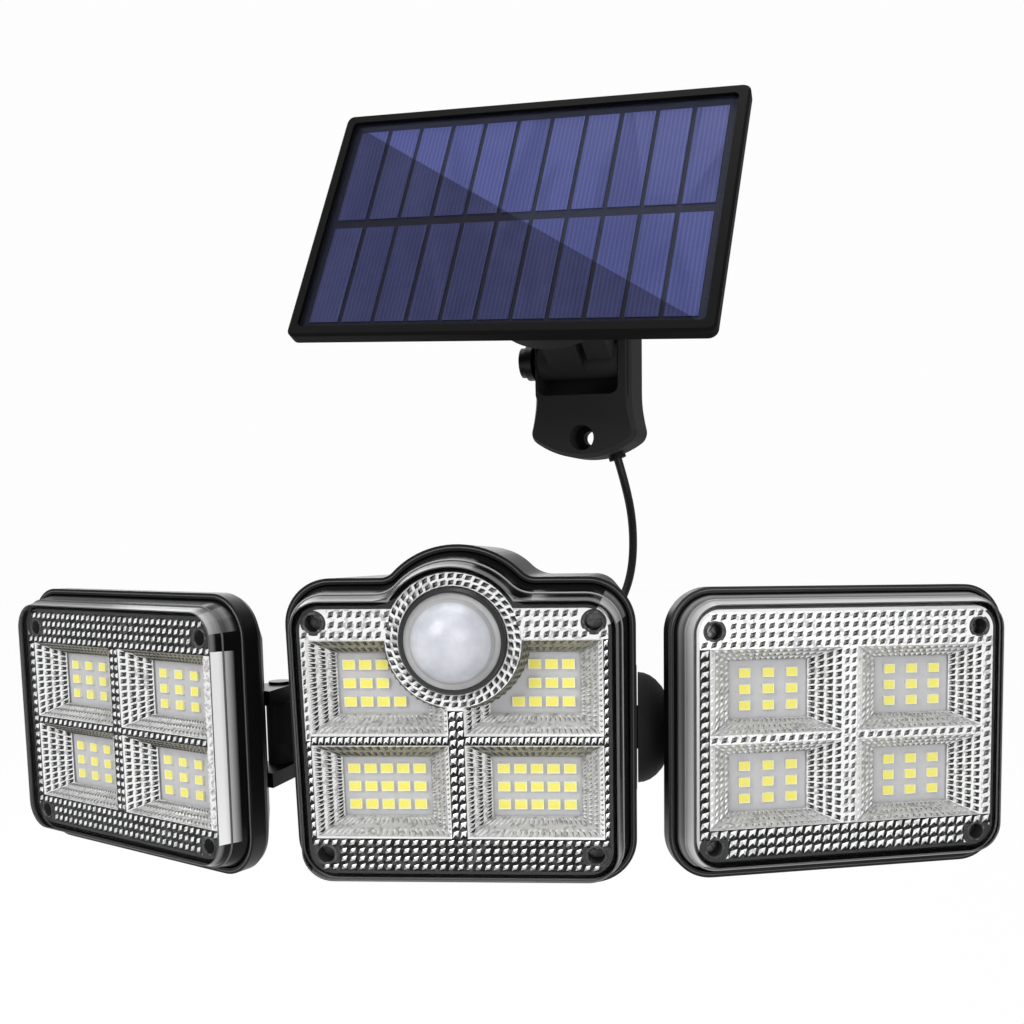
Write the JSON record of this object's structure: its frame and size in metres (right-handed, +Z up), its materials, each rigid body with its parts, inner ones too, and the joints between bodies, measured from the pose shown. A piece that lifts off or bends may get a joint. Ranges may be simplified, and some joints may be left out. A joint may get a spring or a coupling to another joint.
{
  "type": "motion sensor security light",
  "caption": "Wall light with a sensor head between two jointed side heads, each with a plated reflector behind a clear cover, fed by a tilting solar panel on its own bracket",
  "frame": {"origin": "middle of the lamp bracket's wall face", "axes": "+Y into the wall, +Z up, +X to the viewer's right"},
  "size_m": [0.3266, 0.108, 0.2346],
  "materials": {
    "black_plastic": "fine satin moulded black",
    "plated_plastic": "vacuum plated, faceted",
    "clear_plastic": "polished clear plastic",
    "rubber": "soft black rubber",
    "cable_jacket": "smooth black jacket",
    "gland_plastic": "moulded black",
    "board_grey": "white solder mask seen in shade",
    "circuit_green": "green solder mask",
    "switch_black": "moulded",
    "led": "phosphor under clear gel",
    "lens_white": "milky translucent",
    "sensor_metal": "bright can",
    "steel": "zinc plated",
    "cell_sleeve": "shrink sleeve",
    "solar_blue": "dark blue silicon"
  },
  "bodies": {
    "wall": {"lamp_bracket": "black_plastic", "tilt_bolt": "steel", "tilt_nut": "steel", "panel_bracket": "black_plastic", "panel_bolt": "steel", "plate_grommet": "rubber", "lamp_cable": "cable_jacket"},
    "lamp": {"lamp_housing": "black_plastic", "lamp_seal": "rubber", "lamp_cover": "clear_plastic", "lamp_reflector": "plated_plastic", "lamp_board": "board_grey", "lamp_leds": "led", "lamp_screws": "steel", "board_tray": "black_plastic", "lens_bezel": "black_plastic", "sensor_lens": "lens_white", "motion_sensor": "sensor_metal", "control_board": "circuit_green", "mode_switch": "switch_black", "battery_cradle": "black_plastic", "battery_cells": "cell_sleeve", "rear_door": "black_plastic", "door_screws": "steel", "cable_gland": "gland_plastic"},
    "mode_button": {"mode_button": "rubber"},
    "panel_arm": {"panel_arm": "black_plastic"},
    "panel": {"panel_frame": "black_plastic", "panel_window": "clear_plastic", "solar_cells": "solar_blue", "cell_board": "board_grey", "panel_back": "black_plastic", "turn_screw": "steel"},
    "right_arm": {"right_arm": "black_plastic", "right_hub_washer": "steel", "right_hub_screw": "steel"},
    "right_head": {"right_housing": "black_plastic", "right_seal": "rubber", "right_cover": "clear_plastic", "right_reflector": "plated_plastic", "right_board": "board_grey", "right_leds": "led", "right_screws": "steel", "right_hinge_pin": "steel"},
    "left_arm": {"left_arm": "black_plastic", "left_hub_washer": "steel", "left_hub_screw": "steel"},
    "left_head": {"left_housing": "black_plastic", "left_seal": "rubber", "left_cover": "clear_plastic", "left_reflector": "plated_plastic", "left_board": "board_grey", "left_leds": "led", "left_screws": "steel", "left_hinge_pin": "steel"}
  },
  "joints": [
    {"name": "lamp_tilt", "type": "hinge", "parent": "wall", "child": "lamp", "pos_m": [0, -0.014, 0], "axis": [1, 0, 0], "range_deg": [-20, 20], "deforming": ["lamp_cable"]},
    {"name": "mode_press", "type": "slide", "parent": "lamp", "child": "mode_button", "axis": [0, 0, 1], "range_m": [0, 0.001], "stiffness_N_per_m": 500, "springref_m": -0.0005},
    {"name": "panel_tilt", "type": "hinge", "parent": "wall", "child": "panel_arm", "pos_m": [0.03245, -0.01502, 0.1095], "axis": [0.974, -0.2267, 0], "range_deg": [-21.9, 13.1]},
    {"name": "panel_turn", "type": "hinge", "parent": "panel_arm", "child": "panel", "pos_m": [0.02056, -0.06611, 0.14522], "axis": [0.1999, 0.8592, -0.471], "range_deg": [-22.6, 17.4]},
    {"name": "right_arm_tilt", "type": "hinge", "parent": "lamp", "child": "right_arm", "pos_m": [0, -0.048, -0.009], "axis": [1, 0, 0], "range_deg": [-34.1, 45.9]},
    {"name": "right_head_yaw", "type": "hinge", "parent": "right_arm", "child": "right_head", "pos_m": [0.0683, -0.04551, -0.00926], "axis": [0, 0.1028, 0.9947], "range_deg": [-12.9, 30.1]},
    {"name": "left_arm_tilt", "type": "hinge", "parent": "lamp", "child": "left_arm", "pos_m": [0, -0.048, -0.009], "axis": [1, 0, 0], "range_deg": [-36.2, 43.8]},
    {"name": "left_head_yaw", "type": "hinge", "parent": "left_arm", "child": "left_head", "pos_m": [-0.0683, -0.0455, -0.00917], "axis": [0, 0.0663, 0.9978], "range_deg": [-16.7, 26.3]}
  ]
}
